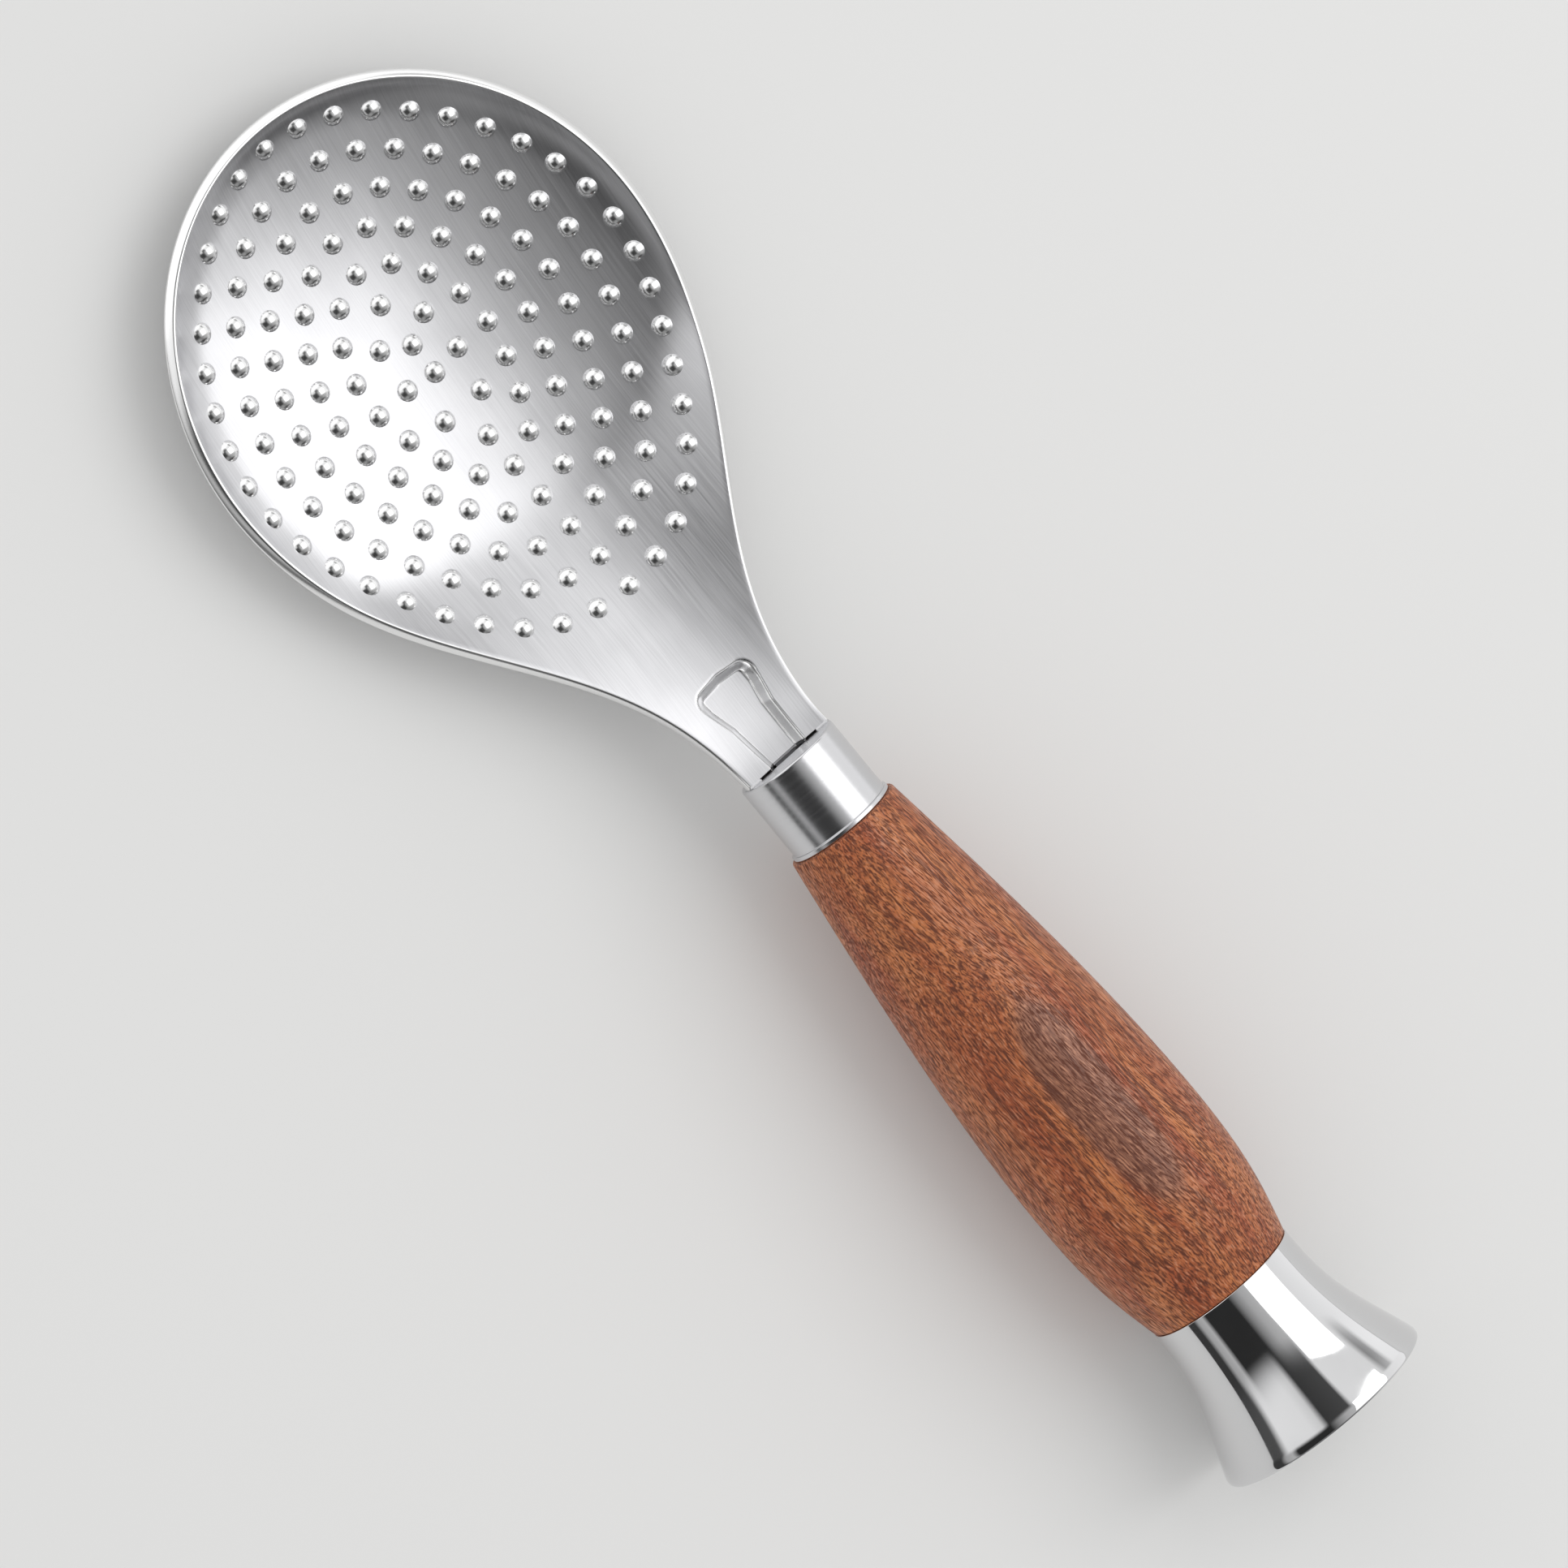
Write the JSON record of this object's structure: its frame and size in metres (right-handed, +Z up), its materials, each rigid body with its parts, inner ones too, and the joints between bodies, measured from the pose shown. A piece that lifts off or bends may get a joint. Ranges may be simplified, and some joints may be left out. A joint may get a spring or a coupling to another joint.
{
  "type": "rice paddle",
  "caption": "Round dished steel rice paddle with raised dots, on a turned wooden handle held between a plain collar and a flared end cap.",
  "frame": {"origin": "middle of the whole paddle, on the surface that it lies on, with the blade's hollow upwards", "axes": "+X runs along the handle's axis towards the blade's tip, +Z is up, out of the hollow, and +Y completes the right-handed frame"},
  "size_m": [0.2181, 0.0694, 0.0314],
  "materials": {
    "satin_steel": "brushed along the length, with a polished rim and dots",
    "polished_steel": "turned and polished",
    "mirror_steel": "mirror polished",
    "oiled_wood": "turned, sanded and oiled, satin",
    "plain_steel": "plain"
  },
  "bodies": {
    "root": {"blade": "satin_steel", "collar": "polished_steel", "handle_grip": "oiled_wood", "tail_cap": "mirror_steel", "tang": "plain_steel", "tang_washer": "plain_steel", "tang_nut": "plain_steel"}
  },
  "joints": []
}
